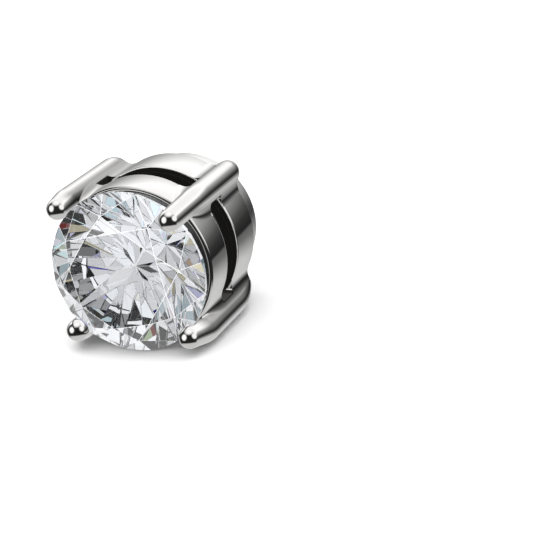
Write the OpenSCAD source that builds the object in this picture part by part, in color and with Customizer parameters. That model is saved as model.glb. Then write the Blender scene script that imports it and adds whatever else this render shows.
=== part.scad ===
// Magnetic stud earring: a round brilliant in a four-prong setting made of two bands,
// with one magnet inside the setting and a loose magnet disc that holds it through the lobe.
// Millimetres. +Z is up, the stone's table looks along -Y, and the earring lies on its side, on
// the stone's girdle and the bands. The origin is the bottom centre of its box.

/* [Stone] */
// Diameter of the stone at its girdle
stone_d = 8; // [7:0.25:8.5]
// Width of the table from vertex to vertex, as a share of the diameter
table_share = 0.628; // [0.58:0.002:0.66]
// Slope of the main crown facets, in degrees
crown_slope = 35.5; // [33:0.5:38]
// Length of a star facet, as a share of the way from the table's edge to the girdle
star_share = 0.5; // [0.42:0.02:0.56]
// Height of the girdle, as a share of the diameter
girdle_share = 0.038; // [0.02:0.002:0.05]
// Slope of the main pavilion facets, in degrees
pavilion_slope = 42.5; // [40:0.5:43]
// Length of a lower half facet, as a share of the way from the girdle to the culet
lower_half_share = 0.78; // [0.7:0.02:0.84]
// Turn of the stone about its axis, in degrees
stone_turn = 32.3; // [0:0.1:45]

/* [Bands] */
// Outside radius of the bands, as a share of the stone's radius
drum_share = 0.9925; // [0.95:0.0025:1]
// Thickness of the bands
band_wall = 0.35; // [0.3:0.01:0.5]
// Depth behind the table at which the front band begins
front_band_start = 2.1; // [2:0.05:2.4]
// Width of the front band
front_band_w = 1.85; // [1.4:0.05:2]
// Width of the window between the bands
window_w = 1.3; // [1.1:0.05:1.5]
// Width of the back band
back_band_w = 2.25; // [2:0.05:2.8]
// Radius of the window's corners
window_corner = 0.22; // [0.1:0.02:0.4]

/* [Prongs] */
// Radius of a prong's bar
prong_r = 0.59; // [0.5:0.01:0.64]
// Distance from the axis to the middle of a bar, as a share of the stone's radius
prong_share = 1.14; // [1.12:0.005:1.2]
// Radius of a prong's tip
tip_ball = 0.53; // [0.45:0.01:0.58]
// Radius of the bend that takes a bar's back end into the back band
bend_r = 0.65; // [0.6:0.05:0.9]
// Radius of the fillets between the bars and the bands
fillet_r = 0.5; // [0.3:0.05:0.6]

/* [Magnets] */
// Height by which the front magnet stands out of the back band
magnet_proud = 0.08; // [0.04:0.02:0.2]
// Radius of the magnet disc, as a share of the stone's radius
disc_share = 0.875; // [0.8:0.005:0.9]
// Thickness of the magnet disc
disc_w = 1.33; // [1:0.01:1.6]
// Bevel on the edges of the magnet disc
disc_bevel = 0.1; // [0.05:0.01:0.2]
// Bevel on the back edge of the front magnet
magnet_bevel = 0.05; // [0.02:0.01:0.08]

/* [Hidden] */
$fn = 96;

// Clearance between the stone and its seats
seat_gap = 0.03;
// Clearance around the front magnet
magnet_gap = 0.04;
// Clearance between the two magnets
pull_gap = 0.04;
// Depth by which pieces of one casting run into each other
sink = 0.01;
// Width of plain band left between a window and the bar beside it
window_edge = 0.1;
// Length of straight bar that stands in front of the front band
nose_lead = 0.1;
// Distance from a heel to the back band's edge
heel_edge = 0.03;
// How far up a bar's radius the web stands at its bend
web_rise = 0.75;
// Thickness of the ledge that the front magnet sits against, and its width from the bore
ledge_w = 0.3;
ledge_reach = 0.4;

// Stone, measured from the girdle's front edge: heights to the front, depths to the back
stone_r = stone_d / 2;
half_step = 11.25;
facet_step = 22.5;
main_step = 45;
table_r = stone_r * table_share;
table_edge_r = table_r * cos(facet_step);
crown_h = (stone_r - table_r) * tan(crown_slope);
girdle_h = stone_d * girdle_share;
// Where the crown's star, kite and upper half facets meet
star_r = table_edge_r + star_share * (stone_r - table_edge_r);
star_h = (stone_r - star_r * cos(facet_step)) * tan(crown_slope);
star_slope = atan((crown_h - star_h) / (star_r - table_edge_r));
upper_slope = atan(star_h / ((stone_r - star_r) * cos(half_step)));
// Where two pavilion mains and their lower half facets meet
lower_r = (1 - lower_half_share) * stone_r;
lower_drop = (stone_r - lower_r * cos(facet_step)) * tan(pavilion_slope);
lower_slope = atan(lower_drop / ((stone_r - lower_r) * cos(half_step)));
pavilion_h = stone_r * tan(pavilion_slope);
// Points along the girdle, for each half facet and in all
per_half = 6;
rim = 16 * per_half;
rim_step = 360 / rim;

// Depths behind the table
front_band_end = front_band_start + front_band_w;
back_band_start = front_band_end + window_w;
drum_end = back_band_start + back_band_w;
magnet_end = drum_end + magnet_proud;
disc_start = magnet_end + pull_gap;
disc_end = disc_start + disc_w;
magnet_start = back_band_start + ledge_w + magnet_gap;

// Radii about the axis
drum_r = stone_r * drum_share;
bore_r = drum_r - band_wall;
ledge_r = bore_r - ledge_reach;
magnet_r = bore_r - magnet_gap;
disc_r = stone_r * disc_share;
bar_r = stone_r * prong_share;

// Window, from one bar's side to the next
window_half = bar_r * cos(45) - prong_r - window_edge;

// Prongs: angle up from the right-hand side, then the tip's distance from the axis
// as a share of the stone's radius, and its depth behind the table
ANGLE = 0;
TIP_SHARE = 1;
TIP_DEPTH = 2;
PRONGS = [
  [45, 1.055, 0.35],
  [135, 1.12, 1.0],
  [225, 1.03, 0.65],
  [315, 1.065, 0.72],
];
nose_start = front_band_start - nose_lead;
bend_depth = drum_end - bend_r - prong_r - heel_edge;

// Fillet between a bar and the drum, as the place of its centre
fillet_out = drum_r + fillet_r - sink;
fillet_reach = prong_r + fillet_r - sink;
fillet_x = (bar_r * bar_r + fillet_out * fillet_out - fillet_reach * fillet_reach) / (2 * bar_r);
fillet_y = sqrt(fillet_out * fillet_out - fillet_x * fillet_x);
// Where the web starts inside the band's wall, as a share of the way to the fillet's centre
web_root = (drum_r - band_wall / 2) / fillet_out;

// The whole earring's box, which lies on the stone's girdle unless the lower bars reach lower
front_most = min([for (p = PRONGS) p[TIP_DEPTH] - tip_ball]);
half_len = (disc_end - min(0, front_most)) / 2;
axis_h = max(bar_r * sin(45) + prong_r, stone_r);

// From the stone's own axis to the way the earring lies
module lay_down() {
  translate([0, half_len - disc_end, axis_h]) rotate([90, 0, 0]) children();
}

// A flat shape carried from one depth behind the table to another
module slab(from, to) {
  translate([0, 0, -to]) linear_extrude(to - from) children();
}

// Points round the axis at one azimuth, radius and height
function at(azimuth, radius, height) = [radius * cos(azimuth), radius * sin(azimuth), height];

// Height of a half facet's plane at the girdle, at an azimuth from the facet's own middle
function scallop(off, slope) = stone_r * (cos(half_step) - cos(off)) * tan(slope);

// The stone's corners: table, star tips, girdle's front and back edges, lower half tips, culet
stone_points = concat(
  [for (k = [0:7]) at(k * main_step, table_r, crown_h)],
  [for (k = [0:7]) at(k * main_step + facet_step, star_r, star_h)],
  [for (i = [0:rim - 1]) at(i * rim_step, stone_r, scallop(rim_off(i), upper_slope))],
  [for (i = [0:rim - 1]) at(i * rim_step, stone_r, -girdle_h - scallop(rim_off(i), lower_slope))],
  [for (k = [0:7]) at(k * main_step + facet_step, lower_r, -girdle_h - lower_drop)],
  [[0, 0, -girdle_h - pavilion_h]]
);

// Azimuth of a girdle point from the middle of its half facet
function rim_off(i) = abs((i * rim_step) % facet_step - half_step);

// Places of the corners in the list
function table_at(k) = k % 8;
function star_at(k) = 8 + (k + 8) % 8;
function top_at(i) = 16 + (i + rim) % rim;
function low_at(i) = 16 + rim + (i + rim) % rim;
function lower_at(k) = 16 + 2 * rim + (k + 8) % 8;
culet_at = 24 + 2 * rim;

stone_faces = concat(
  [[for (k = [7:-1:0]) table_at(k)]],
  [for (k = [0:7]) [table_at(k), table_at(k + 1), star_at(k)]],
  [for (k = [0:7]) [table_at(k), star_at(k), top_at(2 * k * per_half), star_at(k - 1)]],
  [for (k = [0:7], side = [0, 1])
    concat([star_at(k)], [for (i = [per_half:-1:0]) top_at((2 * k + side) * per_half + i)])],
  [for (i = [0:rim - 1]) [top_at(i), top_at(i + 1), low_at(i + 1), low_at(i)]],
  [for (k = [0:7], side = [0, 1])
    concat([lower_at(k)], [for (i = [0:per_half]) low_at((2 * k + side) * per_half + i)])],
  [for (k = [0:7]) [culet_at, lower_at(k - 1), low_at(2 * k * per_half), lower_at(k)]]
);

// Space that the stone takes as it turns, with the clearance of its seats
module seat_space() {
  translate([0, 0, -crown_h]) rotate_extrude()
    polygon([
      [0, crown_h + seat_gap],
      [table_r + seat_gap, crown_h + seat_gap],
      [star_r + seat_gap, star_h + seat_gap],
      [stone_r + seat_gap, seat_gap],
      [stone_r + seat_gap, -girdle_h - seat_gap],
      [lower_r + seat_gap, -girdle_h - lower_drop - seat_gap],
      [0, -girdle_h - pavilion_h - seat_gap],
    ]);
}

// Web that joins a bar to the drum, with a fillet on each side
module web_section() {
  difference() {
    polygon([
      [web_root * fillet_x, -web_root * fillet_y],
      [fillet_x, -fillet_y],
      [bar_r, 0],
      [fillet_x, fillet_y],
      [web_root * fillet_x, web_root * fillet_y],
    ]);
    for (side = [-1, 1]) translate([fillet_x, side * fillet_y]) circle(fillet_r);
  }
}

// Web along both bands, rounded off inside the bend of the bar
module web() {
  slab(front_band_start, bend_depth) web_section();
  intersection() {
    slab(bend_depth - sink, drum_end) web_section();
    translate([bar_r - bend_r, 0, -bend_depth]) rotate([90, 0, 0])
      cylinder(h = 4 * fillet_y, r = bend_r + prong_r * web_rise, center = true);
  }
}

// Bent front end of a prong, from the bar to its tip over the crown
module nose(tip_radius, tip_depth) {
  lean = bar_r - tip_radius;
  rise = nose_start - tip_depth;
  translate([bar_r, 0, -nose_start]) {
    sphere(prong_r + sink);
    rotate([0, -atan2(lean, rise), 0])
      cylinder(h = norm([lean, rise]), r1 = prong_r - sink, r2 = tip_ball - sink);
  }
  translate([tip_radius, 0, -tip_depth]) sphere(tip_ball);
}

// Back end of a prong, bent into the back band
module heel() {
  translate([bar_r - bend_r, 0, -bend_depth]) {
    rotate([90, 0, 0]) rotate([0, 0, -90]) rotate_extrude(angle = 90)
      translate([bend_r, 0]) circle(prong_r);
    translate([0, 0, -bend_r]) rotate([0, -90, 0]) cylinder(h = band_wall, r = prong_r);
  }
}

// One prong along its whole length
module prong(tip_radius, tip_depth) {
  nose(tip_radius, tip_depth);
  slab(nose_start, bend_depth) translate([bar_r, 0]) circle(prong_r);
  heel();
}

// Outline of a window, seen square to the axis, with its corners rounded
module window_outline() {
  offset(r = window_corner, $fn = 24)
    square([2 * (window_half - window_corner), window_w - 2 * window_corner], center = true);
}

// Windows cut through the drum from side to side
module windows() {
  for (turn = [0, 90]) rotate([0, 0, turn])
    translate([0, 0, -(front_band_end + back_band_start) / 2]) rotate([90, 0, 0])
      linear_extrude(4 * drum_r, center = true) window_outline();
}

// Inside of the drum, with the ledge that the front magnet sits against
module drum_bore() {
  slab(front_band_start - stone_d, back_band_start) circle(bore_r);
  slab(front_band_start, drum_end) circle(ledge_r);
  slab(back_band_start + ledge_w, drum_end + stone_d) circle(bore_r);
}

// Setting: two bands, four prongs and the webs between them, cast in one piece
module setting() {
  color("silver") lay_down() difference() {
    union() {
      slab(front_band_start, drum_end) circle(drum_r);
      for (p = PRONGS) rotate([0, 0, p[ANGLE]]) {
        web();
        prong(p[TIP_SHARE] * stone_r, p[TIP_DEPTH]);
      }
    }
    drum_bore();
    windows();
    seat_space();
  }
}

// Stone: table, 8 stars, 8 kites, 32 half facets, 8 mains and a scalloped girdle
module stone() {
  color("aliceblue") lay_down() translate([0, 0, -crown_h]) rotate([0, 0, stone_turn])
    polyhedron(points = stone_points, faces = stone_faces);
}

// Front magnet: a disc set in the back band, its back edge bevelled
module magnet_front() {
  color("gainsboro") lay_down() {
    slab(magnet_start, magnet_end - magnet_bevel) circle(magnet_r);
    translate([0, 0, -magnet_end])
      cylinder(h = magnet_bevel, r1 = magnet_r - magnet_bevel, r2 = magnet_r);
  }
}

// Back magnet: the loose disc behind the lobe, both edges bevelled
module magnet_back() {
  color("lightgray") lay_down() {
    translate([0, 0, -disc_end]) cylinder(h = disc_bevel, r1 = disc_r - disc_bevel, r2 = disc_r);
    slab(disc_start + disc_bevel, disc_end - disc_bevel) circle(disc_r);
    translate([0, 0, -disc_start - disc_bevel])
      cylinder(h = disc_bevel, r1 = disc_r, r2 = disc_r - disc_bevel);
  }
}

setting();
stone();
magnet_front();
magnet_back();
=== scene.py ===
import math

import bmesh
import bpy
from mathutils import Matrix, Vector


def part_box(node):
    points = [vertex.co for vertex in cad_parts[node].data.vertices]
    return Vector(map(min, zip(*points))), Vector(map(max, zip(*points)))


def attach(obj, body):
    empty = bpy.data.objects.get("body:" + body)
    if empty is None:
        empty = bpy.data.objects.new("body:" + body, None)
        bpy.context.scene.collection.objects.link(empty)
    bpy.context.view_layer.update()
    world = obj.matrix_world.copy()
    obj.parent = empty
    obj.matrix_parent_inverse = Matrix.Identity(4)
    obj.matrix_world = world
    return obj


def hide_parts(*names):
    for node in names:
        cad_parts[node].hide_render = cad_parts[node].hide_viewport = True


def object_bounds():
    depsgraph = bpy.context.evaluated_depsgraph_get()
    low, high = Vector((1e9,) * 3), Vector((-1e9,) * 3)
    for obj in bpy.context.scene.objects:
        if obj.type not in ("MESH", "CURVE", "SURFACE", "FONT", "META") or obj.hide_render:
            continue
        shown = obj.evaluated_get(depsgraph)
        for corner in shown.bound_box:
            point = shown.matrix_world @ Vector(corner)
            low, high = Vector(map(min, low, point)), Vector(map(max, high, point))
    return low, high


# Looks of a magnetic stud earring: a round brilliant in a polished four-prong setting of two
# bands, with a plated magnet in the setting and a satin magnet disc behind the lobe.
# Pieces are modelled in millimetres round the stone's axis: X to the right, Z up, and Y the
# depth behind the stone's table. settle() then takes each one to its place in the frame.

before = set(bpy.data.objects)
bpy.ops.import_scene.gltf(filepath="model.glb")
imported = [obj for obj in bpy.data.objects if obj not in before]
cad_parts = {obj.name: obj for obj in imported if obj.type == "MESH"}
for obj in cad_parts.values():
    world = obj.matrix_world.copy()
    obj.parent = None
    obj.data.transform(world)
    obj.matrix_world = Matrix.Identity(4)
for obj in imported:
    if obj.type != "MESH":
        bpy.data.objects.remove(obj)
cad_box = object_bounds()

MM = 0.001
stone_low, stone_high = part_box("stone")
front_low, front_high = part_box("magnet_front")
disc_low, disc_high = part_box("magnet_back")
table_y = stone_low.y
axis_z = (disc_low.z + disc_high.z) / 2


def depth_of(y):
    """Depth behind the table, in millimetres, of a place along the frame's Y."""
    return (y - table_y) / MM


# Stone, in millimetres
stone_r = round((stone_high.x - stone_low.x) / 2 / MM, 2)
table_r = 0.628 * stone_r
table_edge_r = table_r * math.cos(math.radians(22.5))
crown_slope = math.radians(35.5)
crown_h = (stone_r - table_r) * math.tan(crown_slope)
girdle_h = 0.038 * 2 * stone_r
star_r = (table_edge_r + stone_r) / 2
star_h = (stone_r - star_r * math.cos(math.radians(22.5))) * math.tan(crown_slope)
pavilion_slope = math.radians(42.5)
pavilion_h = stone_r * math.tan(pavilion_slope)
lower_r = 0.22 * stone_r
lower_drop = (stone_r - lower_r * math.cos(math.radians(22.5))) * math.tan(pavilion_slope)
stone_turn = math.radians(32.3)
girdle_points = 96
stone_index = 2.16
# Bevels of the facets' edges in front of and behind the girdle, the width beside the girdle
# that they leave out, and the distance within which the cuts' corners are welded
crown_edge = 0.009
pavilion_edge = 0.012
girdle_margin = 0.03
facet_weld = 2e-3

# Depths behind the table, in millimetres
front_band = (2.1, 3.95)
back_band = (5.25, 7.5)
ledge_ends = (back_band[0] + 0.02, 5.55)
magnet_front_ends = (depth_of(front_low.y), depth_of(front_high.y))
disc_ends = (depth_of(disc_low.y), depth_of(disc_high.y))

# Radii about the axis, and sizes of the casting's own forms, in millimetres
band_wall = 0.35
drum_r = 0.9925 * stone_r
bore_r = drum_r - band_wall
ledge_r = bore_r - 0.4
ledge_foot = 0.1
magnet_r = (front_high.x - front_low.x) / 2 / MM
disc_r = (disc_high.x - disc_low.x) / 2 / MM
bar_r = 1.14 * stone_r
prong_r = 0.59
tip_ball = 0.53
heel_stub = 0.32
end_round = 0.05
bar_end = back_band[1] - 0.05
window_half = bar_r * math.cos(math.radians(45)) - prong_r - 0.1
window_corner = 0.22
seat_gap = 0.03
# How far bars and necks stay out of the bore, how far a neck stops short of the front rim and
# of the bar's end, and how far touching pieces run into each other
bore_margin = 0.03
neck_margins = (0.06, 0.01)
sink = 0.001

# Fillet between a bar and the bands: its radius at the front rim, at the window and at the back
fillet_ends = (0.08, 0.7, 0.62)

# Rounds of a band's corners: outside front, outside back, inside front and inside back. A
# fine bevel then takes off what edges they leave
front_rounds = (0.08, 0.05, 0.2, 0.04)
back_rounds = (0.07, 0.17, 0.04, 0.05)
fine_edge = 0.015
plug_round = 0.05
disc_round = 0.12

# Prongs: angle up from the right-hand side; the tip's distance from the axis and its depth;
# the depth where the bend over the stone starts and the bend's radius; and the depth where the
# bar's heel starts to turn in behind and the heel's radius
PRONGS = {
    "right_top": (45, 1.055 * stone_r, 0.35, 3.2, 5.5, 6.5, 0.75),
    "left_top": (135, 1.12 * stone_r, 1.0, 2.0, 1.3, 6.8, 0.8),
    "left_low": (225, 1.03 * stone_r, 0.65, 2.0, 1.3, 5.55, 3.4),
    "right_low": (315, 1.065 * stone_r, 0.72, 2.4, 2.4, 5.55, 3.4),
}

# Steps round a ring, round a prong and round the cutters
RING_STEPS = 240
PRONG_SIDES = 64
SEAT_STEPS = 180
CUTTER_SIDES = 128
# Places closer than this, in millimetres, are taken to be the same
NEAR = 1e-4


def pick(piece):
    """Makes one piece the only one selected, and the active one."""
    if bpy.context.object and bpy.context.object.mode != "OBJECT":
        bpy.ops.object.mode_set(mode="OBJECT")
    bpy.ops.object.select_all(action="DESELECT")
    piece.select_set(True)
    bpy.context.view_layer.objects.active = piece


def added(name):
    """Names the primitive that was just added, and takes its place into its mesh."""
    piece = bpy.context.object
    piece.name = piece.data.name = name
    pick(piece)
    bpy.ops.object.transform_apply(location=True, rotation=True, scale=True)
    return piece


def edit(piece):
    pick(piece)
    bpy.ops.object.mode_set(mode="EDIT")
    bpy.ops.mesh.select_all(action="DESELECT")


def select(piece, kind, wanted):
    """Selects the vertices or edges whose middle passes the test, and nothing else."""
    bpy.ops.mesh.select_all(action="DESELECT")
    bpy.ops.mesh.select_mode(type=kind)
    mesh = bmesh.from_edit_mesh(piece.data)
    if kind == "VERT":
        for vertex in mesh.verts:
            vertex.select = wanted(vertex.co)
    else:
        for edge in mesh.edges:
            edge.select = wanted((edge.verts[0].co + edge.verts[1].co) / 2)
    mesh.select_flush_mode()
    bmesh.update_edit_mesh(piece.data)


def object_mode():
    bpy.ops.object.mode_set(mode="OBJECT")


def close_up(weld=NEAR):
    """Welds what meets, and turns the faces outwards. The piece is in edit mode."""
    bpy.ops.mesh.select_mode(type="VERT")
    bpy.ops.mesh.select_all(action="SELECT")
    bpy.ops.mesh.remove_doubles(threshold=weld)
    bpy.ops.mesh.delete_loose()
    bpy.ops.mesh.select_all(action="SELECT")
    bpy.ops.mesh.normals_make_consistent(inside=False)
    if bmesh.from_edit_mesh(bpy.context.object.data).calc_volume(signed=True) < 0:
        bpy.ops.mesh.flip_normals()
    object_mode()


def combine(piece, other, operation):
    """Joins the other piece to this one, or cuts it out, and takes the other away."""
    pick(piece)
    modifier = piece.modifiers.new("combine", "BOOLEAN")
    modifier.operation = operation
    modifier.solver = "MANIFOLD"
    modifier.object = other
    bpy.ops.object.modifier_apply(modifier=modifier.name)
    bpy.data.objects.remove(other)


def turned(piece, degrees):
    """Turns a piece about the axis, from the right-hand side upwards."""
    pick(piece)
    piece.rotation_euler = (0, -math.radians(degrees), 0)
    bpy.ops.object.transform_apply(location=True, rotation=True, scale=True)
    return piece


def settle(piece, body, cad_node, smooth_angle=30):
    """Takes a finished piece from its own millimetres to its place in the frame. Edges flatter
    than the angle, in degrees, are shaded smooth, and none are where it is 0."""
    pick(piece)
    piece.scale = (MM, MM, MM)
    piece.location = (0, table_y, axis_z)
    bpy.ops.object.transform_apply(location=True, rotation=True, scale=True)
    if smooth_angle:
        bpy.ops.object.shade_smooth_by_angle(angle=math.radians(smooth_angle))
    else:
        bpy.ops.object.shade_flat()
    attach(piece, body)
    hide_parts(cad_node)


def lathe(steps=RING_STEPS):
    """Spins a section, drawn at the right-hand side, about the axis. The piece is in edit mode."""
    bpy.ops.mesh.select_all(action="SELECT")
    bpy.ops.mesh.delete(type="ONLY_FACE")
    bpy.ops.mesh.select_all(action="SELECT")
    bpy.ops.mesh.spin(steps=steps, angle=math.tau, center=(0, 0, 0), axis=(0, 1, 0))
    close_up()


def swing(angle, x, y, steps):
    """Carries the selected loop round a bend with its centre at x, y, as seen from above.
    The spin operator counts its angle the other way round."""
    bpy.ops.mesh.spin(steps=steps, angle=-angle, center=(x, y, 0), axis=(0, 0, 1))


def section(name, inner, outer, ends):
    """A ring's section at the right-hand side, between two radii and two depths, in edit mode."""
    bpy.ops.mesh.primitive_plane_add(size=1, location=((inner + outer) / 2, sum(ends) / 2, 0))
    bpy.context.object.scale = (outer - inner, ends[1] - ends[0], 1)
    piece = added(name)
    edit(piece)
    return piece


def band(name, ends, rounds):
    """A band as a section with rounded corners, spun about the axis."""
    piece = section(name, bore_r, drum_r, ends)
    corners = [(drum_r, ends[0]), (drum_r, ends[1]), (bore_r, ends[0]), (bore_r, ends[1])]
    for (x, y), radius in zip(corners, rounds):
        select(piece, "VERT", lambda c: (c.xy - Vector((x, y))).length < NEAR)
        bpy.ops.mesh.bevel(offset=radius, segments=1, affect="VERTICES")
    bpy.ops.mesh.select_all(action="SELECT")
    bpy.ops.mesh.bevel(offset=fine_edge, segments=3, affect="VERTICES")
    lathe()
    return piece


def ledge():
    """The inner lip of the back band, which the front magnet sits against. Its foot is sunk
    into the band."""
    piece = section("ledge", ledge_r, bore_r + ledge_foot, ledge_ends)
    select(piece, "VERT", lambda c: c.x < ledge_r + NEAR)
    bpy.ops.mesh.bevel(offset=end_round, segments=3, affect="VERTICES")
    lathe()
    return piece


def rod(name, radius, ends, sides=CUTTER_SIDES):
    """A plain cylinder along the axis, as a cutter or to start a piece from."""
    bpy.ops.mesh.primitive_cylinder_add(
        vertices=sides,
        radius=radius,
        depth=ends[1] - ends[0],
        location=(0, sum(ends) / 2, 0),
        rotation=(math.pi / 2, 0, 0),
    )
    return added(name)


def window_cutter(degrees):
    """A window's opening as a block with rounded corners, long enough to pass the prongs."""
    width = back_band[0] - front_band[1]
    middle = front_band[1] + width / 2
    reach = 2 * drum_r
    bpy.ops.mesh.primitive_cube_add(size=1, location=(reach / 2, middle, 0))
    bpy.context.object.scale = (reach, width, 2 * window_half)
    piece = added("window")
    edit(piece)
    # The four long edges
    select(piece, "EDGE", lambda c: abs(c.z) > NEAR and abs(c.y - middle) > NEAR)
    bpy.ops.mesh.bevel(offset=window_corner, segments=8, affect="EDGES")
    object_mode()
    return turned(piece, degrees)


def web_outline(bar_line, fillet_r):
    """Outline of a neck across the axis: a foot in the band, a fillet on each side, and a top
    inside the bar, whose middle stands at bar_line from the axis."""
    out = drum_r + fillet_r - sink
    reach = prong_r + fillet_r - sink
    middle_x = (bar_line**2 + out**2 - reach**2) / (2 * bar_line)
    middle_z = math.sqrt(out**2 - middle_x**2)
    first = math.atan2(-middle_z, -middle_x)
    last = math.atan2(-middle_z, bar_line - middle_x)
    flank = []
    steps = 12
    for k in range(steps + 1):
        angle = first + (last - first) * k / steps
        flank.append((middle_x + fillet_r * math.cos(angle), middle_z + fillet_r * math.sin(angle)))
    flank.insert(0, (bore_r + bore_margin, flank[0][1]))
    return flank + [(x, -z) for x, z in reversed(flank)]


def web(heel_start, heel_r):
    """The neck that joins a bar to the bands, with a fillet down each side that is wide at the
    window and the back, and fine at the front rim. It is modelled at the right-hand side."""
    at_rim, at_window, at_back = fillet_ends
    front, back = front_band[0] + neck_margins[0], bar_end - neck_margins[1]
    steps = 8
    stations = []
    for k in range(steps + 1):
        share = math.sin(math.pi / 2 * k / steps)
        depth = front + (front_band[1] - front) * k / steps
        stations.append((depth, at_rim + (at_window - at_rim) * share))
    for k in range(steps + 1):
        share = math.cos(math.pi / 2 * k / steps)
        depth = back_band[0] + (back - back_band[0]) * k / steps
        stations.append((depth, at_back + (at_window - at_back) * share))
    outlines = []
    for depth, fillet_r in stations:
        past = max(0, depth - heel_start)
        bar_line = bar_r - heel_r - prong_r + math.sqrt((heel_r + prong_r) ** 2 - past**2)
        outlines.append([Vector((x, depth, z)) for x, z in web_outline(bar_line, fillet_r)])
    bpy.ops.mesh.primitive_circle_add(vertices=len(outlines[0]), radius=1, fill_type="NGON")
    piece = added("web")
    for vertex, place in zip(piece.data.vertices, outlines[0]):
        vertex.co = place
    edit(piece)
    bpy.ops.mesh.select_all(action="SELECT")
    for before, after in zip(outlines, outlines[1:]):
        bpy.ops.mesh.extrude_region_move()
        mesh = bmesh.from_edit_mesh(piece.data)
        for vertex in [v for v in mesh.verts if v.select]:
            nearest = min(range(len(before)), key=lambda k: (before[k] - vertex.co).length)
            vertex.co = after[nearest]
        bmesh.update_edit_mesh(piece.data)
    close_up()
    for degrees in (-45, 45):
        combine(piece, window_cutter(degrees), "DIFFERENCE")
    return piece


def nose_line(tip_r, tip_depth, start, round_r):
    """Angle of a bar's bend and length of the straight part after it, up to the tip."""
    to_tip = Vector((tip_r - (bar_r - round_r), tip_depth - start))
    length = math.sqrt(to_tip.length_squared - round_r**2)
    angle = math.atan2(-to_tip.y, to_tip.x) - math.atan2(length, round_r)
    return angle, length


def prong(name, tip_r, tip_depth, start, round_r, heel_start, heel_r):
    """One prong: a straight bar bent over the stone at its front, with a round tip,
    and turned in at its heel, which ends flat at the back band's edge.
    It is modelled at the right-hand side."""
    angle, length = nose_line(tip_r, tip_depth, start, round_r)
    bpy.ops.mesh.primitive_circle_add(
        vertices=PRONG_SIDES,
        radius=prong_r,
        location=(bar_r, heel_start, 0),
        rotation=(math.pi / 2, 0, 0),
    )
    piece = added(name)
    edit(piece)
    # Heel, turned in towards the axis
    bpy.ops.mesh.select_all(action="SELECT")
    swing(math.pi / 2, bar_r - heel_r, heel_start, steps=24)
    bpy.ops.mesh.extrude_region_move(TRANSFORM_OT_translate={"value": (-heel_stub, 0, 0)})
    bpy.ops.mesh.edge_face_add()
    # Straight bar
    select(piece, "VERT", lambda c: abs(c.y - heel_start) < NEAR)
    bpy.ops.mesh.extrude_region_move(
        TRANSFORM_OT_translate={"value": (0, start - heel_start, 0)}
    )
    # Bend and lean of the front end
    swing(-angle, bar_r - round_r, start, steps=16)
    lean = Vector((-math.sin(angle), -math.cos(angle), 0))
    bent = Vector((bar_r - round_r, start, 0)) + round_r * Vector(
        (math.cos(angle), -math.sin(angle), 0)
    )
    steps = 4
    radius = prong_r
    for step in range(1, steps + 1):
        bpy.ops.mesh.extrude_region_move(
            TRANSFORM_OT_translate={"value": lean * (length / steps)}
        )
        wanted = prong_r + (tip_ball - prong_r) * step / steps
        centre = bent + lean * (length * step / steps)
        bpy.ops.transform.resize(value=(wanted / radius,) * 3, center_override=centre)
        radius = wanted
    # Round tip
    rings = 12
    for ring in range(1, rings):
        before, after = [math.pi / 2 * r / rings for r in (ring - 1, ring)]
        move = tip_ball * (math.sin(after) - math.sin(before))
        bpy.ops.mesh.extrude_region_move(TRANSFORM_OT_translate={"value": lean * move})
        bpy.ops.transform.resize(
            value=(math.cos(after) / math.cos(before),) * 3,
            center_override=bent + lean * (length + tip_ball * math.sin(after)),
        )
    bpy.ops.mesh.extrude_region_move(
        TRANSFORM_OT_translate={"value": lean * tip_ball * (1 - math.sin(after))}
    )
    bpy.ops.mesh.merge(type="CENTER")
    # Flat end of the heel
    bpy.ops.mesh.select_all(action="SELECT")
    bpy.ops.mesh.bisect(
        plane_co=(bar_r, bar_end, 0), plane_no=(0, 1, 0), use_fill=True, clear_outer=True
    )
    close_up()
    edit(piece)
    select(piece, "EDGE", lambda c: abs(c.y - bar_end) < NEAR)
    bpy.ops.mesh.bevel(offset=end_round, segments=2, affect="EDGES", clamp_overlap=True)
    close_up()
    return piece


def seat_cutter():
    """The space of the stone with a little air round it, cut from the prongs."""
    gap = seat_gap
    low = crown_h + girdle_h
    line = [
        (0, -gap),
        (table_r + gap, -gap),
        (stone_r + gap, crown_h - gap),
        (stone_r + gap, low + gap),
        (lower_r + gap, low + lower_drop + gap),
        (0, low + pavilion_h + gap),
    ]
    bpy.ops.mesh.primitive_circle_add(vertices=len(line), radius=1, fill_type="NOTHING")
    piece = added("seat")
    for vertex, (x, y) in zip(piece.data.vertices, line):
        vertex.co = (x, y, 0)
    edit(piece)
    lathe(SEAT_STEPS)
    return piece


def make_setting():
    """The casting: two bands, then each prong with its neck, cut to the seat and the bore."""
    setting = band("setting_cast", front_band, front_rounds)
    back = band("back_band", back_band, back_rounds)
    combine(back, ledge(), "UNION")
    combine(setting, back, "UNION")
    for name, (degrees, *bends) in PRONGS.items():
        arm = prong(name, *bends)
        turned(arm, degrees)
        combine(arm, seat_cutter(), "DIFFERENCE")
        bore = rod("bore", bore_r + bore_margin, (back_band[0] - 1, back_band[1] + 1))
        combine(arm, bore, "DIFFERENCE")
        neck = turned(web(*bends[-2:]), degrees)
        combine(setting, neck, "UNION")
        combine(setting, arm, "UNION")
    return setting


def facet_cut(azimuth, slope, radius, depth, front):
    """Cuts the stone with one facet plane, which passes through a point at this azimuth. The
    stone is in edit mode."""
    out = Vector((math.cos(azimuth), 0, math.sin(azimuth)))
    along = Vector((0, -1 if front else 1, 0))
    normal = math.sin(slope) * out + math.cos(slope) * along
    bpy.ops.mesh.select_all(action="SELECT")
    bpy.ops.mesh.bisect(
        plane_co=out * radius + Vector((0, depth, 0)),
        plane_no=normal,
        use_fill=True,
        clear_outer=True,
        threshold=1e-5,
    )


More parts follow.
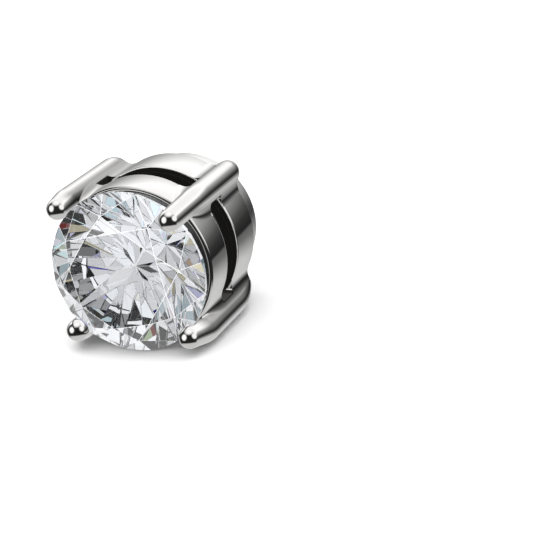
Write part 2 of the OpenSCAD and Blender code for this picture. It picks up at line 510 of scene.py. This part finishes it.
def make_stone():
    """A round brilliant cut from a cylinder, one facet at a time."""
    piece = rod("stone_cut", stone_r, (0, crown_h + girdle_h + pavilion_h), girdle_points)
    piece.data.materials.append(clear_stone())
    piece.data.materials.append(glowing_facet_line())
    low = crown_h + girdle_h
    half = math.radians(11.25)
    upper_slope = math.atan(star_h / ((stone_r - star_r) * math.cos(half)))
    star_slope = math.atan((crown_h - star_h) / (star_r - table_edge_r))
    lower_slope = math.atan(lower_drop / ((stone_r - lower_r) * math.cos(half)))
    eighth = math.radians(45)
    edit(piece)
    for k in range(8):
        main = stone_turn + k * eighth
        facet_cut(main, crown_slope, stone_r, crown_h, True)
        facet_cut(main, pavilion_slope, stone_r, low, False)
        facet_cut(main + eighth / 2, star_slope, table_edge_r, 0, True)
        for side in (-1, 1):
            way = main + side * half
            # A half facet meets the mains at the girdle, where its own azimuth is half off
            reach = stone_r * math.cos(half)
            facet_cut(way, upper_slope, reach, crown_h, True)
            facet_cut(way, lower_slope, reach, low, False)
    close_up(facet_weld)
    edit(piece)
    select(piece, "EDGE", lambda c: c.y < crown_h - girdle_margin)
    # The crown's bevels take the second material, a glowing line of painted highlight
    bpy.ops.mesh.bevel(
        offset=crown_edge, segments=1, affect="EDGES", clamp_overlap=False, material=1
    )
    select(piece, "EDGE", lambda c: c.y > low + girdle_margin)
    bpy.ops.mesh.bevel(offset=pavilion_edge, segments=1, affect="EDGES", clamp_overlap=False)
    object_mode()
    return piece


def make_disc(name, radius, ends, rounding):
    """A magnet: a turned disc with rounded edges."""
    piece = rod(name, radius, ends, RING_STEPS)
    edit(piece)
    select(piece, "EDGE", lambda c: min(abs(c.y - end) for end in ends) < NEAR)
    bpy.ops.mesh.bevel(offset=rounding, segments=5, affect="EDGES")
    close_up()
    return piece


def node(tree, kind, inputs=(), **values):
    """Adds a shader node, and fills or links its inputs in order."""
    new = tree.nodes.new("ShaderNode" + kind)
    for name, value in values.items():
        setattr(new, name, value)
    for place, value in enumerate(inputs):
        if isinstance(value, bpy.types.NodeSocket):
            tree.links.new(value, new.inputs[place])
        elif value is not None:
            new.inputs[place].default_value = value
    return new


def maths(tree, operation, *inputs):
    return node(tree, "Math", inputs, operation=operation).outputs[0]


def both(tree, first, second):
    """1 where both masks are 1."""
    return maths(tree, "MULTIPLY", first, second)


def any_of(tree, mask, *others):
    """1 where one of the masks is 1, and the brightest of several lights."""
    for other in others:
        mask = maths(tree, "MAXIMUM", mask, other)
    return mask


def new_material(name):
    material = bpy.data.materials.new(name)
    material.use_nodes = True
    return material, material.node_tree, material.node_tree.nodes["Principled BSDF"]


def mix(tree, share, first, second):
    """One number turning into another, or one colour where either of them is a colour."""
    ends = (first, second)
    if any(isinstance(end, tuple) or getattr(end, "type", "VALUE") != "VALUE" for end in ends):
        # The colours come after the places of the other kinds
        return node(tree, "Mix", (share, *[None] * 5, *ends), data_type="RGBA").outputs[2]
    return node(tree, "Mix", (share, None, *ends)).outputs[0]


def map_range(tree, value, low, high, first=0, second=1):
    """Takes a value smoothly from first, at low, to second, at high."""
    new = node(tree, "MapRange", (value, low, high, first, second))
    new.interpolation_type = "SMOOTHSTEP"
    return new.outputs[0]


def noise(tree, scale, detail=2, stretch=(1, 1, 1)):
    place = node(tree, "TexCoord").outputs["Object"]
    place = node(tree, "Mapping", (place, (0, 0, 0), (0, 0, 0), stretch)).outputs[0]
    return node(tree, "TexNoise", (place, None, scale, detail)).outputs[0]


def from_noise(tree, pattern, low, high):
    """A number between low and high, which follows the middle range of a noise."""
    return map_range(tree, pattern, 0.3, 0.7, low, high)


def relief(tree, shader, height, strength, distance):
    """Fine relief after a pattern; the distance is in metres."""
    bump = node(tree, "Bump", (strength, distance))
    tree.links.new(height, bump.inputs["Height"])
    tree.links.new(bump.outputs[0], shader.inputs["Normal"])


def from_axis(tree):
    """Distance from the earring's axis, in millimetres."""
    place = node(tree, "TexCoord").outputs["Object"]
    centred = node(
        tree, "Mapping", (place, (0, 0, -axis_z / MM), (0, 0, 0), (1 / MM, 0, 1 / MM))
    ).outputs[0]
    return node(tree, "VectorMath", (centred,), operation="LENGTH").outputs["Value"]


def across_window(tree):
    """Distance from the middle of the nearest window, across it, in millimetres."""
    place = node(tree, "TexCoord").outputs["Object"]
    x, _, z = node(tree, "SeparateXYZ", (place,)).outputs
    across = maths(tree, "ABSOLUTE", x)
    up = maths(tree, "ABSOLUTE", maths(tree, "SUBTRACT", z, axis_z))
    return maths(tree, "DIVIDE", maths(tree, "MINIMUM", across, up), MM)


def depth_behind_table(tree):
    """Depth behind the stone's table, in millimetres."""
    place = node(tree, "TexCoord").outputs["Object"]
    y = node(tree, "SeparateXYZ", (place,)).outputs["Y"]
    return maths(tree, "DIVIDE", maths(tree, "SUBTRACT", y, table_y), MM)


def between(tree, value, low, high, soft=0.015):
    """1 where a value lies between two limits, and 0 outside them."""
    above = map_range(tree, value, low, low + soft)
    below = map_range(tree, value, high, high - soft)
    return both(tree, above, below)


# On the steel, in millimetres: how far the near-black painted shade goes into the bore's wall
# and past a window's end, and how far it stays below the bands' outside and off the rim's two
# edges; the width of the painted highlight line along a slot's edge, on the front band and on
# the back band; how far the painted shade in the creases reaches past the bars' middle and the
# width in which it fades; and the depths where it begins and is full
bore_shade = 0.12
window_shade = 0.03
slot_shade = 0.09
rim_margins = (0.2, 0.08)
highlight_lines = (0.075, 0.045)
crease_shade_reach = 0.32
crease_shade_fade = 0.27
crease_shade_begins, crease_shade_full = front_band[0] - 1.1, front_band[0] - 0.1


def polished_steel():
    """Bright polished outside, with painted shade darkening the creases beside the bars, near-black
    painted shade inside the bore and on the narrow faces of the slots and the rim, and a pale
    painted highlight line along the slots' edges."""
    material, tree, shader = new_material("polished_steel")
    radius, depth = from_axis(tree), depth_behind_table(tree)
    # Each mask stops a few hundredths of a millimetre off the edge that it follows
    bore = both(
        tree,
        map_range(tree, radius, bore_r + bore_shade + 0.02, bore_r + bore_shade),
        between(tree, depth, front_band[0] + 0.02, back_band[1] - 0.03),
    )
    past_end = window_half + window_shade
    window_ends = both(
        tree,
        map_range(tree, across_window(tree), past_end + 0.03, past_end),
        between(tree, depth, front_band[1] + 0.01, back_band[0] - 0.01),
    )
    slots = both(
        tree,
        map_range(tree, radius, drum_r - slot_shade + 0.02, drum_r - slot_shade),
        between(tree, depth, front_band[1] - 0.03, back_band[0] + 0.03),
    )
    rim = both(
        tree,
        between(tree, radius, bore_r + rim_margins[0], drum_r - rim_margins[1]),
        map_range(tree, depth, front_band[0] + 0.03, front_band[0] + 0.01),
    )
    # Near-black painted shade inside the bore, on the slots' narrow faces, at the windows' ends and
    # on the rim's face
    painted_shade = any_of(tree, bore, rim, slots, window_ends)
    # Painted shade: the base colour is darkened in the creases between the bars and the bands
    crease_shade = both(
        tree,
        between(tree, radius, drum_r + 0.01, bar_r + crease_shade_reach, crease_shade_fade),
        map_range(tree, depth, crease_shade_begins, crease_shade_full),
    )
    # A thin painted highlight line along the slots' edges of both bands
    edges = any_of(
        tree,
        between(tree, depth, front_band[1] - highlight_lines[0], front_band[1] + 0.02),
        between(tree, depth, back_band[0] - 0.02, back_band[0] + highlight_lines[1]),
    )
    edges = both(tree, edges, between(tree, radius, drum_r - 0.06, drum_r + 0.03, 0.01))
    cloud = noise(tree, 900, 3)
    colour = mix(tree, cloud, (0.60, 0.595, 0.585, 1), (0.65, 0.645, 0.64, 1))
    # The painted shade in the creases
    colour = mix(tree, crease_shade, colour, (0.26, 0.258, 0.255, 1))
    # The painted highlight line
    colour = mix(tree, edges, colour, (0.85, 0.85, 0.85, 1))
    # The near-black painted shade
    colour = mix(tree, painted_shade, colour, (0.022, 0.021, 0.02, 1))
    tree.links.new(colour, shader.inputs["Base Color"])
    # The painted highlight line is made less metallic, so that it shows pale under any light
    tree.links.new(map_range(tree, edges, 0, 1, 1, 0.5), shader.inputs["Metallic"])
    buff = noise(tree, 4000, 2, (1, 0.25, 1))
    rough = mix(tree, any_of(tree, painted_shade, edges), from_noise(tree, buff, 0.06, 0.1), 0.6)
    tree.links.new(rough, shader.inputs["Roughness"])
    relief(tree, shader, buff, 0.04, 0.000002)
    return material


def keep_out_of_mirrors(tree, shader):
    """Leaves the stone out of the polished metal's reflections, but not out of its own, and
    gives it the pale shadow of a clear stone."""
    let_through = 0.35
    path = node(tree, "LightPath").outputs
    outside = maths(tree, "LESS_THAN", path["Transmission Depth"], 0.5)
    mirrored = both(tree, path["Is Glossy Ray"], outside)
    pale = maths(tree, "MULTIPLY", path["Is Shadow Ray"], let_through)
    hidden = any_of(tree, mirrored, pale)
    tree.links.new(maths(tree, "SUBTRACT", 1, hidden), shader.inputs["Alpha"])


def clear_stone():
    material, tree, shader = new_material("clear_stone")
    shader.inputs["Base Color"].default_value = (0.97, 0.98, 1, 1)
    shader.inputs["Roughness"].default_value = 0
    shader.inputs["IOR"].default_value = stone_index
    shader.inputs["Transmission Weight"].default_value = 1
    keep_out_of_mirrors(tree, shader)
    return material


def glowing_facet_line():
    """A glowing line where two facets of the crown meet: a painted highlight, pale and lit by its
    own emission.
    """
    material, tree, shader = new_material("glowing_facet_line")
    grain = noise(tree, 3000, 2)
    shade = mix(tree, grain, (0.80, 0.82, 0.85, 1), (0.92, 0.93, 0.95, 1))
    tree.links.new(shade, shader.inputs["Base Color"])
    tree.links.new(shade, shader.inputs["Emission Color"])
    # The emission is the painted highlight: the line glows whatever light falls on it
    shader.inputs["Emission Strength"].default_value = 0.12
    tree.links.new(from_noise(tree, grain, 0.2, 0.3), shader.inputs["Roughness"])
    keep_out_of_mirrors(tree, shader)
    return material


def satin_steel():
    """Turned steel: fine rings left by the tool, and an edge that handling has polished."""
    material, tree, shader = new_material("satin_steel")
    radius, depth = from_axis(tree), depth_behind_table(tree)
    shader.inputs["Metallic"].default_value = 1
    around = node(tree, "CombineXYZ", (radius, depth, None)).outputs[0]
    rings = node(tree, "TexNoise", (around, None, 14, 4)).outputs[0]
    cloud = noise(tree, 500, 3)
    edge = between(tree, radius, disc_r - 0.14, disc_r - 0.02, 0.06)
    colour = mix(tree, rings, (0.62, 0.62, 0.615, 1), (0.72, 0.715, 0.71, 1))
    colour = mix(tree, edge, colour, (0.78, 0.775, 0.77, 1))
    tree.links.new(colour, shader.inputs["Base Color"])
    rough = mix(tree, edge, from_noise(tree, cloud, 0.24, 0.33), 0.16)
    tree.links.new(rough, shader.inputs["Roughness"])
    relief(tree, shader, rings, 0.25, 0.000004)
    return material


def plated_magnet():
    """Bright plating with a faint orange peel, a little duller in clouds and worn at its rim."""
    material, tree, shader = new_material("plated_magnet")
    radius = from_axis(tree)
    shader.inputs["Metallic"].default_value = 1
    cloud = noise(tree, 700, 3)
    at_rim = map_range(tree, radius, magnet_r - 0.1, magnet_r - 0.03)
    worn = both(tree, at_rim, noise(tree, 1500, 2))
    colour = mix(tree, cloud, (0.60, 0.61, 0.62, 1), (0.68, 0.69, 0.70, 1))
    colour = mix(tree, worn, colour, (0.50, 0.48, 0.45, 1))
    tree.links.new(colour, shader.inputs["Base Color"])
    tree.links.new(from_noise(tree, cloud, 0.14, 0.24), shader.inputs["Roughness"])
    relief(tree, shader, noise(tree, 2500, 2), 0.2, 0.000003)
    return material


def floor_white():
    """A matt white table with a grain too fine and pale to stand out."""
    material, tree, shader = new_material("floor_white")
    grain = noise(tree, 300, 3)
    tone = mix(tree, grain, (0.89, 0.89, 0.89, 1), (0.91, 0.91, 0.91, 1))
    tree.links.new(tone, shader.inputs["Base Color"])
    tree.links.new(from_noise(tree, grain, 0.55, 0.65), shader.inputs["Roughness"])
    return material


def dress(piece, material):
    piece.data.materials.clear()
    piece.data.materials.append(material)


setting = make_setting()
dress(setting, polished_steel())
settle(setting, "jewel", "setting")

stone = make_stone()
settle(stone, "jewel", "stone", 0)

magnet = make_disc("magnet_plug", magnet_r, magnet_front_ends, plug_round)
dress(magnet, plated_magnet())
settle(magnet, "jewel", "magnet_front")

disc = make_disc("magnet_disc", disc_r, disc_ends, disc_round)
dress(disc, satin_steel())
settle(disc, "disc", "magnet_back")

# Studio: a white floor under soft light. The metal sees the studio's far surroundings, which
# are painted on the world by direction
bpy.ops.mesh.primitive_circle_add(vertices=64, radius=1.2, fill_type="NGON")
floor = added("floor")
floor.location = (0, 0, min(0, cad_box[0].z))
dress(floor, floor_white())


def heading(azimuth, elevation):
    """A direction from the earring: azimuth from the front towards the right, in degrees."""
    azimuth, elevation = math.radians(azimuth), math.radians(elevation)
    return Vector((
        math.sin(azimuth) * math.cos(elevation),
        -math.cos(azimuth) * math.cos(elevation),
        math.sin(elevation),
    ))


def softbox(name, way, distance, size, power):
    """A square soft light that looks at the earring from a direction."""
    data = bpy.data.lights.new(name, "AREA")
    data.size = size
    data.energy = power
    light = bpy.data.objects.new(name, data)
    bpy.context.scene.collection.objects.link(light)
    back = heading(*way)
    light.location = Vector((0, 0, axis_z)) + back * distance
    light.rotation_mode = "QUATERNION"
    light.rotation_quaternion = back.to_track_quat("Z", "Y")
    return light


floor_light = softbox("floor_light", (10, 70), distance=0.5, size=0.8, power=3.8)

# The metal's reflections and the rays through the stone pass by the earring's metal, the floor
# and its light
for thing in (setting, magnet, disc, floor, floor_light):
    thing.visible_glossy = False
    thing.visible_transmission = False


def soft_disc(tree, ray, way, radius, soft, strength):
    """A round soft box seen in a direction; its radius and soft edge are angles in degrees."""
    ahead = node(
        tree, "VectorMath", (ray, tuple(heading(*way))), operation="DOT_PRODUCT"
    ).outputs["Value"]
    outer, inner = [math.cos(math.radians(radius + side * soft)) for side in (1, -1)]
    return map_range(tree, ahead, outer, inner, 0, strength)


def shades(tree, value, stops, blend="LINEAR"):
    """Colours along a value from 0 to 1, as pairs of place and colour."""
    new = node(tree, "ValToRGB", (value,))
    new.color_ramp.interpolation = blend
    line = new.color_ramp.elements
    while len(line) < len(stops):
        line.new(0.5)
    for stop, (place, shade) in zip(line, stops):
        stop.position = place
        stop.color = (*shade, 1)
    return new.outputs[0]


def by_height(tree, height, lights):
    """Light that changes with a height from -1 to 1, as pairs of height and light."""
    top = max(light for _, light in lights)
    stops = [(place * 0.5 + 0.5, (light / top,) * 3) for place, light in lights]
    share = maths(tree, "MULTIPLY_ADD", height, 0.5, 0.5)
    return maths(tree, "MULTIPLY", shades(tree, share, stops), top)


# Light behind the earring by height: to its right, and to its left
BACK_RIGHT = (
    (-0.60, 0.85), (-0.50, 0.80), (-0.42, 0.50), (-0.34, 0.24), (-0.26, 0.17), (-0.24, 0.02),
    (-0.11, 0.05), (0.0, 0.12), (0.15, 0.33), (0.306, 0.60), (0.424, 1.35), (0.5, 1.7),
    (0.6, 1.5), (0.8, 1.4),
)
BACK_LEFT = (
    (-0.60, 0.85), (-0.50, 0.70), (-0.34, 0.52), (-0.15, 0.36), (0.02, 0.44), (0.19, 0.72),
    (0.34, 1.10), (0.446, 1.45), (0.5, 1.7), (0.6, 1.5), (0.8, 1.4),
)
# Where the right-hand light goes over into the left-hand one, and where the back fades out
# towards the front, as shares of a direction
SIDE_CHANGE = (0.2, -0.1)
BACK_FADE = (-0.05, 0.3)
DARKEST = 0.025
# Round soft boxes: direction, radius, soft edge and light
DISCS = {
    "left": ((-40, 18), 26, 9, 1.6),
    "right": ((84, 24), 25, 9, 1.5),
    "top": ((0, 90), 24, 24, 1.6),
    "ground": ((0, -90), 52, 8, 0.85),
}


def surroundings(tree, ray):
    """What the metal mirrors."""
    ray_x, ray_y, ray_z = node(tree, "SeparateXYZ", (ray,)).outputs
    to_left = map_range(tree, ray_x, *SIDE_CHANGE)
    right = by_height(tree, ray_z, BACK_RIGHT)
    left = by_height(tree, ray_z, BACK_LEFT)
    back = both(tree, mix(tree, to_left, right, left), map_range(tree, ray_y, *BACK_FADE))
    discs = [soft_disc(tree, ray, *values) for values in DISCS.values()]
    return any_of(tree, back, DARKEST, *discs)


# Greys of the stone's patches and their faint tints, each from a share of the patches onwards
TONES = ((0, 0.0), (0.14, 0.1), (0.23, 0.42), (0.35, 0.68), (0.54, 0.84), (0.8, 0.95))
TINTS = (
    (0, (1.0, 0.92, 0.66)), (0.08, (1.0, 0.86, 0.86)), (0.14, (0.98, 0.985, 0.99)),
    (0.46, (0.9, 0.9, 1.0)), (0.57, (0.98, 0.985, 0.99)), (0.76, (0.74, 0.93, 1.0)),
    (0.87, (0.975, 0.985, 1.0)),
)
PATCH_SCALE = 1.6
SPARKLE = 1.33
COOL = (0.98, 0.99, 1.005)
# How far, and in which direction, red, green and blue are seen apart, and how much it shows
FIRE = Vector((0.018, -0.011, 0.015))
FIRE_SHIFTS = (-0.45, 0, 1)
FIRE_SHARE = 0.42
# Light weakens from the first to the second number of bounces, down to the share
LONG_WAY = (4, 9)
LEAST_KEPT = 0.06


def sparkle(tree, ray, bounces):
    """What the stone breaks up: patches of light and grey, seen a little apart in red, green
    and blue, so that their borders show the stone's fire."""
    channels = []
    for shift, share in zip(FIRE_SHIFTS, COOL):
        apart = node(tree, "VectorMath", (ray, tuple(FIRE * shift)), operation="ADD").outputs[0]
        cells = node(tree, "TexVoronoi", (apart, None, PATCH_SCALE))
        chances = node(tree, "SeparateColor", (cells.outputs["Color"],)).outputs
        greys = [(place, (grey,) * 3) for place, grey in TONES]
        tone = shades(tree, chances[0], greys, "CONSTANT")
        channels.append(maths(tree, "MULTIPLY", tone, SPARKLE * share))
    light = mix(tree, FIRE_SHARE, channels[1], node(tree, "CombineColor", channels).outputs[0])
    # The tints keep to the patches that blue shows
    tint = shades(tree, chances[1], TINTS, "CONSTANT")
    light = node(tree, "VectorMath", (light, tint), operation="MULTIPLY").outputs[0]
    # Light that went round in the stone for long comes out weaker
    kept = map_range(tree, bounces, *LONG_WAY, 1, LEAST_KEPT)
    return node(tree, "VectorMath", (light, None, None, kept), operation="SCALE").outputs[0]


# Light that the floor gets evenly from all round
FLOOR_FILL = 0.82


def studio():
    """The world: the surroundings for the metal, patches of light for the stone, an even light
    for the floor, and white for the camera."""
    world = bpy.data.worlds.new("studio")
    bpy.context.scene.world = world
    world.use_nodes = True
    tree = world.node_tree
    ray = node(tree, "TexCoord").outputs["Generated"]
    path = node(tree, "LightPath").outputs
    in_stone = sparkle(tree, ray, path["Ray Depth"])
    light = mix(tree, path["Is Transmission Ray"], surroundings(tree, ray), in_stone)
    fill = maths(tree, "MULTIPLY", path["Is Diffuse Ray"], FLOOR_FILL)
    even = any_of(tree, fill, path["Is Camera Ray"])
    evenly_lit = any_of(tree, path["Is Diffuse Ray"], path["Is Camera Ray"])
    light = mix(tree, evenly_lit, light, even)
    tree.links.new(light, tree.nodes["Background"].inputs["Color"])
    tree.nodes["Background"].inputs["Strength"].default_value = 1


studio()

# Camera: the photograph's lens and its place over the floor, from the middle of the stone's
# table in metres, with the directions of the photograph's right and up
lens = 106.18
lens_place = Vector((0, table_y, axis_z)) + Vector((0.03498, -0.06251, 0.02632))
right = Vector((0.9283, 0.3569, -0.1048))
up = Vector((-0.034, 0.362, 0.9316))
camera_data = bpy.data.cameras.new("camera")
camera_data.lens = lens
camera_data.sensor_width = 36
camera_data.clip_start = 0.001
camera_data.clip_end = 10
camera = bpy.data.objects.new("camera", camera_data)
bpy.context.scene.collection.objects.link(camera)
turn = Matrix((right, up, right.cross(up).normalized())).transposed().to_4x4()
camera.matrix_world = Matrix.Translation(lens_place) @ turn
bpy.context.scene.camera = camera

scene = bpy.context.scene
scene.view_settings.view_transform = "Standard"
scene.cycles.use_denoising = True
scene.cycles.max_bounces = 32
scene.cycles.transmission_bounces = 24
scene.cycles.glossy_bounces = 24
scene.cycles.caustics_reflective = False
scene.cycles.caustics_refractive = False
